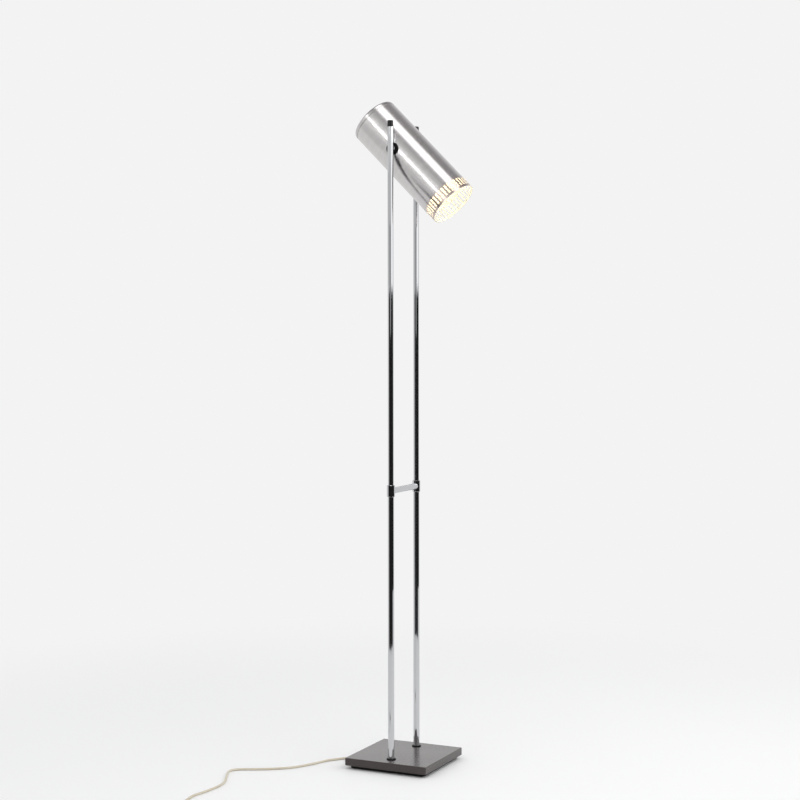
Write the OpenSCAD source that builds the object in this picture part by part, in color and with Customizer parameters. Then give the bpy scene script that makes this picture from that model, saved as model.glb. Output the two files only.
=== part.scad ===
// Telescopic floor lamp: two pairs of telescoping tubes on a square base carry a tilting cylinder shade.
// Millimetres. Origin: middle of the underside. +Z up, the tubes stand along Y, the shade points to +X.

/* [Base] */
// Side of the square base plate
base_side = 200; // [180:1:240]
// Thickness of the base plate
plate_t = 17; // [15:0.5:22]
// Radius on the plate's edges
plate_edge = 1.2; // [0.8:0.1:2.5]
// How far the plinth is set in from the plate's edge
plinth_inset = 9; // [6:0.5:14]
// Height of the plinth
plinth_h = 6.5; // [6.5:0.1:8]
// Thickness of the felt under the plinth
felt_t = 1.5; // [1:0.1:2]

/* [Tubes] */
// Distance between the two tubes
tube_gap = 133.5; // [130:0.5:140]
// Outside diameter of the outer tubes
outer_d = 14; // [14:0.1:15]
// Bore of the outer tubes
outer_bore = 13.1; // [13.1:0.01:13.2]
// Outside diameter of the inner tubes
inner_d = 13; // [12.9:0.01:13]
// Wall of the inner tubes
inner_wall = 1; // [0.8:0.1:1.2]
// Height of the middle of the collars
collar_z = 628; // [600:1:660]
// Height of a collar
collar_h = 26; // [22:1:30]
// Outside diameter of a collar
collar_d = 18.2; // [17:0.1:20]
// Diameter of the crossbar
bar_d = 14; // [8:0.5:15]
// Length of the inner tubes
inner_len = 940; // [920:1:950]
// Height of the inner tubes' top end, as it stands
inner_top = 1434; // [1420:1:1440]
// Height of a tube's end cap
cap_h = 14; // [10:0.5:16]

/* [Shade] */
// Height of the pivot, as it stands
pivot_z = 1387; // [1380:1:1390]
// Angle of the shade below the horizontal
shade_dip = 45; // [30:1:60]
// Outside diameter of the shade
shade_d = 112; // [110:0.5:114.5]
// Wall of the shade
shade_wall = 1.2; // [1:0.1:1.4]
// From the pivot to the mouth
mouth_at = 173.5; // [165:0.5:180]
// From the pivot to the closed end
back_at = 104.5; // [100:0.5:110]
// Length of the lid at the closed end
lid_len = 10.5; // [9:0.5:12]
// Radius of the lid's corner
lid_corner = 5; // [4:0.5:7]
// Width of the shadow gap between the lid and the shell
seam_w = 1; // [0.4:0.1:1.5]
// Number of slots round the mouth
slot_count = 40; // [24:4:44]
// Width of a slot
slot_w = 4.8; // [4:0.1:5.5]
// Length of a slot
slot_len = 21.5; // [20:0.5:30]
// Plain rim between the slots and the mouth
slot_rim = 5.5; // [4:0.5:8]
// Diameter of the black discs at the pivot
disc_d = 28; // [26:0.5:32]

/* [Cord] */
// Diameter of the mains cord
cord_d = 5; // [4.5:0.1:5]
// Diameter of the lead inside the lamp
lead_d = 3.6; // [3.4:0.1:3.8]
// Turns of the coil in each layer
coil_turns = 3; // [2:1:3]
// Radius of the coil's outer turn
coil_r = 38; // [38:0.5:40]

/* [Hidden] */
$fn = 96;

// Colours
chrome = [0.80, 0.81, 0.83];
paint = [0.36, 0.34, 0.33];
black = [0.06, 0.06, 0.06];
spun = [0.74, 0.73, 0.72];
steel = [0.62, 0.63, 0.65];
brass = [0.80, 0.66, 0.34];
ceramic = [0.93, 0.92, 0.88];
gold_flex = [0.80, 0.73, 0.58];

// Shared clearances
slip = 0.02;      // glued, pressed or brazed faces, each side
turn_fit = 0.05;  // pins that turn
slack = 1;        // overlap of a cutting tool past the face it cuts

// Levels of the base
plinth_z = felt_t;
plate_z = felt_t + plinth_h;
plate_top = plate_z + plate_t;
plinth_side = base_side - 2 * plinth_inset;
plinth_floor = 1.5;
plinth_wall = 3;
plinth_bore = plinth_side - 2 * plinth_wall;
plinth_corner = 6;
screw_at = plinth_side / 2 - 13;
tube_y = tube_gap / 2;
front = -1;       // the side of the tube at -Y
back = 1;         // the side of the tube at +Y

// Tube feet
foot_sink = 4;                 // depth of the counterbore that takes the tube's end
foot_z = plate_top - foot_sink;
foot_plug_h = 15;
nipple_d = 10;
nipple_bore = 7;
nut_recess_d = 26;
nut_recess = 7.5;
recess_top = plate_z + nut_recess;
foot_washer_t = 1;
foot_nut_h = 4;
nut_bottom = recess_top - foot_washer_t - foot_nut_h;
foot_ring_t = 2;
foot_ring_d = 21;

// Wiring space under the plate
wiring_x = [-plinth_side / 2 + plinth_wall, 14];
wiring_w = 32;
wiring_h = 9;
wiring_top = plate_z + wiring_h;
lead_channel_w = 16;
lead_channel_h = 5;
anchor_x = [-66, -56];
cord_level = 9;                // height of the cord where the anchor holds it
block_size = [20, 16, 11];

// Collar and bushes
collar_bottom = collar_z - collar_h / 2;
collar_top = collar_z + collar_h / 2;
collar_lip = 3;
collar_chamfer = 0.7;
outer_top = collar_z;
bush_r = inner_d / 2 + slip;

// Inner tubes
inner_bottom = inner_top - inner_len;
inner_r = inner_d / 2;
inner_bore_r = inner_r - inner_wall;
guide_h = 5;
coil_lead_r = 4.5;
coil_lead_z = [40, 900];

// Pivot stack, as distances from the middle plane
tube_face = tube_y - inner_r;
screw_r = 4;
disc_face = shade_d / 2 + 3;
chrome_washer_d = 14;
spacer_face = 52;
leg_face = 50.5;
spring_face = 49.4;
head_face = 44;
head_width = 13;
insert_h = 24;
insert_bore = 2.6;         // radius of the lead's way up through the back insert
cross_bore = 10.75;        // depth of an insert's cross bore
screw_end = [tube_y + 3, 62.5];  // ends of the solid screw and of the hollow one
screw_bore = 2.3;          // radius of the hollow screw's bore

// Shade, measured along its own axis from the pivot; the mouth is at the positive end
shade_r = shade_d / 2;
shade_bore_r = shade_r - shade_wall;
seam_at = -back_at + lid_len;
spigot_len = 6;

// Lampholder and bulb, along the shade's axis
web_at = -72;
leg_w = 20;
sheet_t = 1.5;
holder_back = web_at + sheet_t;
cap_end = -50;
barrel_end = -13;
barrel_r = 20;
socket_r = 13.9;
bulb_r = 30;
bulb_centre = 36;
bulb_neck_r = 14;
bulb_neck_at = -12;
glass_t = 1;

// Switch on the cord, and plug
switch_at = [-164, -565];
switch_len = 64;
switch_w = 27;
switch_split = 8;
switch_h = 17;
rocker_z = 13.2;
rocker_r = 9.9;
rocker_rest = 7;
plug_x = -38;
plug_y = -562;
plug_z = 6.85;
plug_len = 36;

// Route of the mains cord, from the anchor to the switch
mains_route = [
    [-66, 0, 9], [-74, 0, 8.2], [-84, 0, 6.0], [-92, 0, 4.8], [-104, -1, 3.4], [-116, -6, 2.6],
    [-128, -14, 2.5], [-139, -25, 2.5], [-154, -43, 2.5], [-167, -62, 2.5], [-183, -103, 2.5],
    [-205, -144, 2.5], [-230, -168, 2.5], [-256, -186, 2.5], [-280, -199, 2.5], [-300, -208.5, 2.5],
    [-314, -218.5, 2.5], [-319.5, -232, 2.5], [-316.5, -247, 2.5], [-301, -279, 2.5], [-284, -313, 2.5],
    [-276, -343, 2.5], [-276, -374, 2.5], [-280, -412, 2.5], [-284, -438, 2.5], [-280, -470, 2.5],
    [-269, -500, 2.5], [-255, -526, 2.5], [-239, -548, 2.8], [-220, -561, 4.5], [-206, -565, 6.2],
    [-196, -565, 6.5]
];
// Route from the switch to the coil
link_route = [[-132, -565, 6.5], [-124, -565, 6.2], [-112, -565, 4.0], [-98, -565, 2.5], [-88, -565, 2.5]];
// Route from the coil to the plug
plug_route = [[-88, -562.2, 8], [-76, -562.1, 8], [-60, -562, 7.4], [-48, -562, 6.85], [-38, -562, 6.85]];
// Route inside the base, from the terminal block to the anchor
end_route = [[-10, 0, 12], [-20, 0, 12], [-34, 0, 10.5], [-48, 0, 9], [-56, 0, 9], [-66, 0, 9]];
// Route from the terminal block up through the back tube's foot
base_route = [
    [0, 8, 11], [0, 14, 10.4], [0, 24, 7], [0, 34, 5.6], [0, 50, 5.6], [0, 58, 5.7],
    [0, 63.5, 7.8], [0, 66.3, 12], [0, 66.75, 18], [0, 66.75, 40]
];
// Route up the back inner tube and through the hollow pivot screw
tube_route = [
    [0, 66.75, 900], [0, 66.75, 1000], [0, 66.75, 1200], [0, 66.75, 1300], [0, 66.75, 1345],
    [0, 66.75, 1366], [0, 66.75, 1376], [0, 66.5, 1381], [0, 65.3, 1384.7], [0, 62.8, 1386.6],
    [0, 59.5, 1387], [0, 54, 1387], [0, 44, 1387]
];
// Route from the pivot screw to the lampholder, in the shade's own axes
shade_route = [
    [0, 44, 0], [0, 40, -0.5], [1, 36.5, -4], [4, 34.5, -12], [10, 34.5, -26], [14, 35, -44],
    [16, 35, -62], [16, 33, -76], [14, 26, -87], [9, 15, -93], [3, 5, -93], [0, 0.6, -88.5],
    [0, 0, -84], [0, 0, -80]
];
ring_step = 12;   // distance between the rings of a cord

// ---- functions ----

function unit(v) = v / norm(v);

// A point on the smooth curve through a route, at t from 0 to 1 along its span i
function on_span(route, i, t) =
    let (
        last = len(route) - 1,
        p0 = route[max(i - 1, 0)], p1 = route[i], p2 = route[i + 1], p3 = route[min(i + 2, last)],
        m1 = (p2 - p0) / (i == 0 ? 1 : 2),
        m2 = (p3 - p1) / (i + 2 > last ? 1 : 2)
    )
    (2 * t ^ 3 - 3 * t ^ 2 + 1) * p1 + (t ^ 3 - 2 * t ^ 2 + t) * m1
    + (3 * t ^ 2 - 2 * t ^ 3) * p2 + (t ^ 3 - t ^ 2) * m2;

// The centres of a cord's rings along its route
function centres(route, step = ring_step) = [
    for (i = [0 : len(route) - 2])
        let (n = max(1, round(norm(route[i + 1] - route[i]) / step)))
            for (k = [0 : n - 1]) on_span(route, i, k / n),
    route[len(route) - 1]
];

// The length of a line of points
function run_of(line, i = 1) = i >= len(line) ? 0 : norm(line[i] - line[i - 1]) + run_of(line, i + 1);

// The direction of a line at point i; first and last set the direction of its ends
function heading(line, i, first, last) =
    i == 0 ? first
    : i == len(line) - 1 ? last
    : unit(line[i + 1] - line[i - 1]);

// The coil's centre line: in for coil_turns, up a layer in half a turn, and out again
coil_pitch = 5.6;
coil_lift = 5.5;
coil_centre = [-88, -565 + coil_r];
coil_steps = 24;
turning_in = coil_turns;
turning_out = coil_turns + 0.5;
coil_end = 2 * coil_turns;
coil_inner_r = coil_r - coil_pitch * coil_turns;
function coil_radius(u) = coil_inner_r + coil_pitch * max(turning_in - u, u - turning_out);
function coil_height(u) =
    let (s = min(1, max(0, (u - turning_in) / 0.5)))
    cord_d / 2 + coil_lift * s ^ 2 * (3 - 2 * s);
function coil_point(u) =
    let (a = 360 * u - 90)
    [coil_centre[0] + coil_radius(u) * cos(a), coil_centre[1] + coil_radius(u) * sin(a), coil_height(u)];
coil_line = [for (k = [0 : coil_end * coil_steps]) coil_point(k / coil_steps)];

// The least distance between the coil's turns, from the points at least a third of a turn apart
coil_gap = min([
    for (i = [0 : len(coil_line) - 1])
        for (j = [i + coil_steps / 3 : 1 : len(coil_line) - 1]) norm(coil_line[i] - coil_line[j])
]) - cord_d;
echo(coil_gap_to_itself = coil_gap);
echo(mains_cord_length = run_of(centres(mains_route)), coil_length = run_of(coil_line));

// ---- helpers ----

// A round tube or cord swept along a line of points. across is a direction that the line never takes
module sweep(line, d, sides, first, last, across) {
    n = len(line);
    rings = [
        for (i = [0 : n - 1])
            let (
                along = heading(line, i, first, last),
                side = unit(cross(along, across)),
                up = cross(side, along)
            )
            for (k = [0 : sides - 1])
                line[i] + d / 2 * (cos(360 * k / sides) * side + sin(360 * k / sides) * up)
    ];
    skin = [
        for (i = [0 : n - 2])
            for (k = [0 : sides - 1])
                let (a = i * sides + k, b = i * sides + (k + 1) % sides)
                for (face = [[a, b, b + sides], [a, b + sides, a + sides]]) face
    ];
    ends = [
        [for (k = [sides - 1 : -1 : 0]) k],
        [for (k = [0 : sides - 1]) (n - 1) * sides + k]
    ];
    polyhedron(rings, concat(skin, ends), convexity = 10);
}

module rounded_square(w, h, r) {
    square([w - 2 * r, h], center = true);
    square([w, h - 2 * r], center = true);
    for (x = [-1, 1], y = [-1, 1]) translate([x * (w / 2 - r), y * (h / 2 - r)]) circle(r);
}

// A ring on the Z axis from low to high
module ring(r_in, r_out, low, high) {
    rotate_extrude() translate([r_in, low]) square([r_out - r_in, high - low]);
}

// A hexagon nut or head on the Z axis
module hexagon(across, low, high) {
    translate([0, 0, low]) cylinder(d = across / cos(30), h = high - low, $fn = 6);
}

module at_tube(side) {
    translate([0, side * tube_y, 0]) children();
}

// Local Z runs outward along the pivot's axis, on the side given
module on_pivot(side) {
    translate([0, 0, pivot_z]) rotate([-90 * side, 0, 0]) children();
}

// The shade's own axes: local Z runs along it to the mouth, local Y along the pivot
module in_shade() {
    translate([0, 0, pivot_z]) rotate([0, 90 + shade_dip, 0]) children();
}

// The same outward pivot axis in the shade's own axes
module on_shade_pivot(side) {
    rotate([-90 * side, 0, 0]) children();
}

// ---- base ----

module base_plate() {
    color(paint)
    difference() {
        hull() {
            for (x = [-1, 1], y = [-1, 1])
                translate([x * (base_side / 2 - 2), y * (base_side / 2 - 2), plate_z])
                    rotate_extrude($fn = 24) polygon([
                        [0, 0], [2 - plate_edge / 2, 0], [2, plate_edge / 2], [2, plate_t - plate_edge],
                        for (a = [30, 60]) [
                            2 - plate_edge * (1 - cos(a)), plate_t - plate_edge * (1 - sin(a))
                        ],
                        [2 - plate_edge, plate_t], [0, plate_t]
                    ]);
        }
        for (side = [front, back])
            at_tube(side) {
                translate([0, 0, foot_z]) cylinder(d = outer_d + 0.1, h = foot_sink + slack);
                translate([0, 0, plate_z - slack]) cylinder(d = nipple_d + 0.4, h = plate_t);
                translate([0, 0, plate_z - slack]) cylinder(d = nut_recess_d, h = nut_recess + slack);
            }
        translate([wiring_x[0], -wiring_w / 2, plate_z - slack])
            cube([wiring_x[1] - wiring_x[0], wiring_w, wiring_h + slack]);
        translate([-lead_channel_w / 2, wiring_w / 2 - slack, plate_z - slack])
            cube([lead_channel_w, tube_y - wiring_w / 2, lead_channel_h + slack]);
        for (x = [-1, 1], y = [-1, 1])
            translate([x * screw_at, y * screw_at, plate_z - slack]) cylinder(d = 4.1, h = 9 + slack);
        for (p = wiring_screw_places)
            translate([p[0], p[1], wiring_top - slack]) cylinder(d = 3.1, h = 5 + slack);
    }
}

module plinth() {
    color(black)
    difference() {
        union() {
            translate([0, 0, plinth_z]) linear_extrude(plinth_h) difference() {
                rounded_square(plinth_side, plinth_side, plinth_corner);
                rounded_square(plinth_bore, plinth_bore, plinth_corner - plinth_wall);
            }
            translate([0, 0, plinth_z]) linear_extrude(plinth_floor)
                rounded_square(plinth_side - 2, plinth_side - 2, plinth_corner - 1);
            for (x = [-1, 1], y = [-1, 1])
                translate([x * screw_at, y * screw_at, plinth_z]) cylinder(d = 14, h = plinth_h);
        }
        for (x = [-1, 1], y = [-1, 1])
            translate([x * screw_at, y * screw_at, plinth_z - slack]) {
                cylinder(d = 4.4, h = plinth_h + 2 * slack);
                cylinder(d1 = 8.8 + 2 * slack, d2 = 4.3, h = 2.25 + slack);
            }
        translate([-plinth_side / 2 - slack, -cord_d / 2 - 0.4, plinth_z + 0.8])
            cube([plinth_wall + 3 * slack, cord_d + 0.8, plinth_h]);
    }
}

module base_felt() {
    color(black) linear_extrude(felt_t) rounded_square(plinth_side - 6, plinth_side - 6, plinth_corner - 2);
}

module plinth_screws() {
    color(steel)
    for (x = [-1, 1], y = [-1, 1])
        translate([x * screw_at, y * screw_at, plinth_z])
            rotate_extrude() polygon([[0, 0], [4.1, 0], [4.1, 0.2], [2, 2.2], [2, 13], [1.4, 14], [0, 14]]);
}

module foot_ring(side) {
    color(black)
    at_tube(side) translate([0, 0, plate_top]) rotate_extrude() polygon([
        [outer_d / 2 + slip, 0], [foot_ring_d / 2, 0], [foot_ring_d / 2, foot_ring_t - 0.6],
        [foot_ring_d / 2 - 0.6, foot_ring_t], [outer_d / 2 + slip, foot_ring_t]
    ]);
}

module foot_plugs() {
    color(steel)
    for (side = [front, back])
        at_tube(side) ring(nipple_d / 2 + slip, outer_bore / 2 - slip, foot_z, foot_z + foot_plug_h);
}

module foot_nipples() {
    color(brass)
    for (side = [front, back])
        at_tube(side) ring(nipple_bore / 2, nipple_d / 2, nut_bottom - 0.5, foot_z + 13);
}

module foot_washers() {
    color(steel)
    for (side = [front, back])
        at_tube(side) ring(nipple_d / 2 + 0.1, 11, recess_top - foot_washer_t, recess_top);
}

module foot_nuts() {
    color(steel)
    for (side = [front, back])
        at_tube(side) difference() {
            hexagon(14, nut_bottom, recess_top - foot_washer_t);
            cylinder(d = nipple_d + 2 * slip, h = plate_top);
        }
}

// ---- outer tubes ----

module outer_tube(side) {
    color(chrome) at_tube(side) ring(outer_bore / 2, outer_d / 2, foot_z, outer_top);
}

module collar(side) {
    r = collar_d / 2;
    bore = outer_d / 2 + slip;
    lip_bore = bush_r + 0.04;
    color(chrome)
    at_tube(side) rotate_extrude() polygon([
        [bore, collar_bottom], [r - collar_chamfer, collar_bottom], [r, collar_bottom + collar_chamfer],
        [r, collar_top - collar_chamfer], [r - collar_chamfer, collar_top],
        [lip_bore, collar_top], [lip_bore, collar_top - collar_lip], [bore, collar_top - collar_lip]
    ]);
}

module friction_bush(side) {
    color(black) at_tube(side) ring(bush_r, outer_d / 2, outer_top + 0.05, collar_top - collar_lip - 0.05);
}

module crossbar() {
    color(chrome)
    difference() {
        translate([0, -tube_y, collar_z]) rotate([-90, 0, 0]) cylinder(d = bar_d, h = tube_gap);
        for (side = [front, back])
            at_tube(side) translate([0, 0, collar_bottom]) cylinder(r = collar_d / 2 + slip, h = collar_h);
    }
}

// ---- wiring in the base ----

anchor_screw_y = 9.5;
anchor_middle = (anchor_x[0] + anchor_x[1]) / 2;
wiring_screw_places = [[anchor_middle, -anchor_screw_y], [anchor_middle, anchor_screw_y], [6, 0]];

module terminal_block() {
    color(ceramic)
    difference() {
        translate([-block_size[0] / 2, -block_size[1] / 2, wiring_top - block_size[2]]) cube(block_size);
        translate([6, 0, 0]) cylinder(d = 3.1, h = plate_top);
        translate([6, 0, 0]) cylinder(d = 6.2, h = wiring_top - 4);
    }
}

module cord_anchor() {
    color(black)
    difference() {
        translate([anchor_x[0], -13, 4]) cube([anchor_x[1] - anchor_x[0], 26, wiring_top - 4]);
        translate([anchor_x[0] - slack, 0, cord_level]) rotate([0, 90, 0]) cylinder(d = cord_d + 0.1, h = 12);
        for (y = [-1, 1])
            translate([anchor_middle, y * anchor_screw_y, 0]) {
                cylinder(d = 3.1, h = plate_top);
                cylinder(d = 6.2, h = wiring_top - 4);
            }
    }
}

module wiring_screws() {
    color(steel)
    for (p = wiring_screw_places)
        translate([p[0], p[1], wiring_top - 4]) rotate_extrude()
            polygon([[0, -2], [2.4, -2], [2.9, -1.4], [2.9, 0], [1.5, 0], [1.5, 8], [0, 8]]);
}

module base_lead() {
    color(gold_flex) sweep(centres(base_route, 6), lead_d, 8, [0, 1, 0], [0, 0, 1], [1, 0, 0]);
}

module cord_end() {
    color(gold_flex) sweep(centres(end_route), cord_d, 8, [-1, 0, 0], [-1, 0, 0], [0, 1, 0]);
}

// ---- mains cord, switch and plug ----

module mains_cord() {
    color(gold_flex) sweep(centres(mains_route), cord_d, 8, [-1, 0, 0], [1, 0, 0], [0, 0, 1]);
}

module link_cord() {
    color(gold_flex) sweep(centres(link_route), cord_d, 8, [1, 0, 0], [1, 0, 0], [0, 0, 1]);
}

module cord_coil() {
    color(gold_flex) sweep(coil_line, cord_d, 6, [1, 0, 0], [1, 0, 0], [0, 0, 1]);
}

module plug_cord() {
    color(gold_flex) sweep(centres(plug_route), cord_d, 8, [1, 0, 0], [1, 0, 0], [0, 0, 1]);
}

module at_switch() {
    translate([switch_at[0], switch_at[1], 0]) children();
}

module switch_outline(shrink) {
    rounded_square(switch_len - 2 * shrink, switch_w - 2 * shrink, 9 - shrink);
}

module switch_base() {
    color(black)
    at_switch() difference() {
        union() {
            linear_extrude(1) switch_outline(1);
            translate([0, 0, 1]) linear_extrude(switch_split - 1) switch_outline(0);
        }
        translate([-10.4, -6.4, 3]) cube([20.8, 12.8, switch_split]);
    }
}

module switch_cover() {
    color(black)
    at_switch() difference() {
        hull() {
            translate([0, 0, switch_split])
                linear_extrude(switch_h - switch_split - 2.5, $fn = 32) switch_outline(0.3);
            translate([0, 0, switch_h - 0.8]) linear_extrude(0.8, $fn = 32) switch_outline(2);
        }
        translate([-10.4, -6.4, switch_split - slack]) cube([20.8, 12.8, switch_h]);
        translate([0, -7.8, rocker_z]) rotate([-90, 0, 0]) cylinder(r = 1.3, h = 15.6, $fn = 48);
    }
}

module switch_rocker() {
    color(black)
    at_switch() translate([0, 0, rocker_z]) rotate([90, 0, 0]) rotate([0, 0, -rocker_rest]) {
        translate([0, 0, -6]) intersection() {
            cylinder(r = rocker_r, h = 12);
            linear_extrude(12) polygon([[-12, -4], [12, -4], [12, 4.6], [0, 2.8], [-12, 4.6]]);
        }
        translate([0, 0, -7.5]) cylinder(r = 1.25, h = 15, $fn = 48);
    }
}

module plug_body() {
    half_flat = 13.7 / 2;
    color(black)
    translate([plug_x, plug_y, plug_z]) rotate([90, 0, 90]) difference() {
        hull() {
            translate([0, 0, plug_len - 11])
                linear_extrude(11) rounded_square(35, 2 * half_flat, 6.2, $fn = 32);
            translate([0, 0, 10]) linear_extrude(1) rounded_square(21, 2 * half_flat - 1, 5.8, $fn = 32);
            cylinder(r = 4, h = 1, $fn = 32);
        }
        for (side = [-1, 1])
            translate([side * 9.3, 0, plug_len - 6]) cylinder(d = 4.02, h = 6 + slack, $fn = 48);
    }
}

module plug_pins() {
    color(brass)
    translate([plug_x, plug_y, plug_z]) rotate([90, 0, 90]) for (side = [-1, 1])
        translate([side * 9.3, 0, plug_len - 6]) rotate_extrude($fn = 48)
            polygon([[0, 0], [2, 0], [2, 23.5], [1.6, 24.6], [0.8, 25], [0, 25]]);
}

// ---- inner tubes ----

module inner_tube(side) {
    color(chrome)
    difference() {
        at_tube(side) ring(inner_bore_r, inner_r, inner_bottom, inner_top);
        on_pivot(side) translate([0, 0, tube_face - slack]) cylinder(r = screw_r + turn_fit, h = inner_r);
    }
}

module guide_bush(side) {
    color(black)
    at_tube(side) {
        ring(coil_lead_r + 0.3, inner_bore_r - slip, inner_bottom, inner_bottom + 12);
        ring(coil_lead_r + 0.3, outer_bore / 2 - slip, inner_bottom - guide_h, inner_bottom);
    }
}

module tube_cap(side) {
    color(black)
    at_tube(side) translate([0, 0, inner_top]) rotate_extrude() polygon([
        [0, -12], [inner_bore_r - slip, -12], [inner_bore_r - slip, 0], [inner_r + 0.25, 0],
        [inner_r - 0.15, cap_h - 0.8], [inner_r - 0.8, cap_h], [0, cap_h]
    ]);
}

module pivot_insert(side) {
    color(steel)
    difference() {
        at_tube(side) translate([0, 0, pivot_z - insert_h / 2])
            cylinder(r = inner_bore_r - slip, h = insert_h);
        on_pivot(side) translate([0, 0, tube_face - slack])
            cylinder(r = screw_r + slip, h = cross_bore + slack);
        if (side == back)
            at_tube(side) translate([0, 0, pivot_z - insert_h]) cylinder(r = insert_bore, h = insert_h);
    }
}

// The pivot screws: a hexagon head inside the shade and a round shank into the tube's insert
module pivot_screw(side) {
    end = side == back ? screw_end[1] : screw_end[0];
    color(steel)
    on_pivot(side) difference() {
        union() {
            hexagon(head_width, head_face, spring_face - 0.02);
            translate([0, 0, spring_face - 0.02]) cylinder(r = screw_r, h = end - spring_face + 0.02);
        }
        if (side == back) translate([0, 0, head_face - slack]) cylinder(r = screw_bore, h = tube_y);
    }
}

module pivot_washers() {
    color(chrome)
    for (side = [front, back])
        on_pivot(side) ring(screw_r + slip, chrome_washer_d / 2, disc_face + 0.02, tube_face - 0.02);
}

module spring_washers() {
    color(steel)
    for (side = [front, back])
        on_pivot(side) ring(screw_r + slip, 8, spring_face, leg_face - 0.02);
}

module coiled_lead() {
    color(gold_flex) at_tube(back) ring(1.5, coil_lead_r, coil_lead_z[0], coil_lead_z[1]);
}

module tube_lead() {
    color(gold_flex) sweep(centres(tube_route, 40), lead_d, 8, [0, 0, 1], [0, -1, 0], [1, 0, 0]);
}

// ---- shade ----

module shade_shell() {
    color(spun)
    in_shade() difference() {
        ring(shade_bore_r, shade_r, seam_at, mouth_at);
        for (i = [0 : slot_count - 1])
            rotate([0, 0, i * 360 / slot_count])
                translate([shade_bore_r - 2, -slot_w / 2, mouth_at - slot_rim - slot_len])
                    cube([shade_wall + 4, slot_w, slot_len]);
        for (side = [front, back])
            on_shade_pivot(side) translate([0, 0, spacer_face]) cylinder(r = screw_r + turn_fit, h = 8);
    }
}

module shade_lid() {
    out = shade_r - 0.05;
    in = shade_bore_r - turn_fit;
    step = in - shade_wall;
    color(spun)
    in_shade() rotate_extrude() polygon([
        [0, -back_at], [out - lid_corner, -back_at],
        for (a = [15 : 15 : 90]) [
            out - lid_corner * (1 - sin(a)), -back_at + lid_corner * (1 - cos(a))
        ],
        [out, seam_at - seam_w], [in, seam_at - seam_w], [in, seam_at + spigot_len],
        [step, seam_at + spigot_len], [step, -back_at + lid_corner],
        for (a = [75 : -15 : 0]) [
            step - (lid_corner - shade_wall) * (1 - sin(a)),
            -back_at + shade_wall + (lid_corner - shade_wall) * (1 - cos(a))
        ],
        [0, -back_at + shade_wall]
    ]);
}

module pivot_disc(side) {
    edge = 0.7;
    color(black)
    in_shade() difference() {
        on_shade_pivot(side) rotate_extrude() polygon([
            [screw_r + turn_fit, disc_face - 5], [disc_d / 2, disc_face - 5], [disc_d / 2, disc_face - edge],
            [disc_d / 2 - edge, disc_face], [screw_r + turn_fit, disc_face]
        ]);
        cylinder(r = shade_r + slip, h = 2 * disc_d, center = true);
    }
}

module saddle_spacers() {
    color(steel)
    in_shade() intersection() {
        union() {
            for (side = [front, back])
                on_shade_pivot(side) ring(screw_r + turn_fit, 10, spacer_face, shade_r);
        }
        cylinder(r = shade_bore_r - slip, h = 40, center = true);
    }
}

module holder_bracket() {
    reach = spacer_face - slip;
    bend = 5;
    color(steel)
    in_shade() difference() {
        union() {
            rotate([90, 0, 90]) translate([0, 0, -leg_w / 2]) linear_extrude(leg_w) difference() {
                union() {
                    translate([-reach, web_at + bend]) square([2 * reach, -web_at - bend]);
                    translate([-reach + bend, web_at]) square([2 * (reach - bend), bend]);
                    for (side = [-1, 1]) translate([side * (reach - bend), web_at + bend]) circle(bend);
                }
                translate([-leg_face, web_at + bend]) square([2 * leg_face, -web_at]);
                translate([-leg_face + bend - sheet_t, holder_back])
                    square([2 * (leg_face - bend + sheet_t), bend]);
                for (side = [-1, 1])
                    translate([side * (reach - bend), web_at + bend]) circle(bend - sheet_t + slip);
            }
            for (side = [front, back])
                on_shade_pivot(side) translate([0, 0, leg_face])
                    cylinder(r = leg_w / 2, h = reach - leg_face);
        }
        for (side = [front, back])
            on_shade_pivot(side) translate([0, 0, head_face]) cylinder(r = screw_r + turn_fit, h = 10);
        translate([0, 0, web_at - slack]) cylinder(d = nipple_d + 0.2, h = sheet_t + 2 * slack);
    }
}

module holder_nipple() {
    color(brass) in_shade() ring(nipple_bore / 2, nipple_d / 2, web_at - 7, holder_back + 9);
}

module holder_nut() {
    color(steel)
    in_shade() difference() {
        hexagon(14, web_at - 4, web_at - slip);
        translate([0, 0, web_at - 6]) cylinder(d = nipple_d + 2 * slip, h = 10);
    }
}

module holder_cap() {
    color(black)
    in_shade() rotate_extrude() polygon([
        [nipple_d / 2 + slip, holder_back + slip], [11, holder_back + slip], [17, holder_back + 3],
        [18.5, holder_back + 8], [18.5, cap_end - slip], [nipple_d / 2 + slip, cap_end - slip]
    ]);
}

module holder_barrel() {
    color(black)
    in_shade() rotate_extrude() polygon([
        [0, cap_end], [barrel_r - 0.5, cap_end], [barrel_r, cap_end + 1], [barrel_r, barrel_end - 1],
        [barrel_r - 1, barrel_end], [socket_r + slip, barrel_end], [socket_r + slip, cap_end + 8],
        [0, cap_end + 8]
    ]);
}

module thread_shell() {
    color(brass) in_shade() ring(socket_r - 0.5, socket_r, cap_end + 8 + slip, barrel_end - 4);
}

module bulb_cap() {
    color(steel)
    in_shade() rotate_extrude() polygon([
        [0, cap_end + 8.2], [2, cap_end + 8.2], [4.5, cap_end + 9.6], [10, cap_end + 12],
        [13.1, cap_end + 13.5], [13.1, bulb_neck_at - 2], [bulb_neck_r - 0.2, bulb_neck_at], [0, bulb_neck_at]
    ]);
}

// The bulb's outline: a round head that a flank joins to the neck; less is the distance inside the skin
function bulb_outline(less) = [
    [0, bulb_centre + bulb_r - less],
    for (a = [80 : -10 : -50]) [(bulb_r - less) * cos(a), bulb_centre + (bulb_r - less) * sin(a)],
    [bulb_neck_r + 1.4 - less, bulb_neck_at + 12],
    [bulb_neck_r - less, bulb_neck_at + 3]
];

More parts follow.
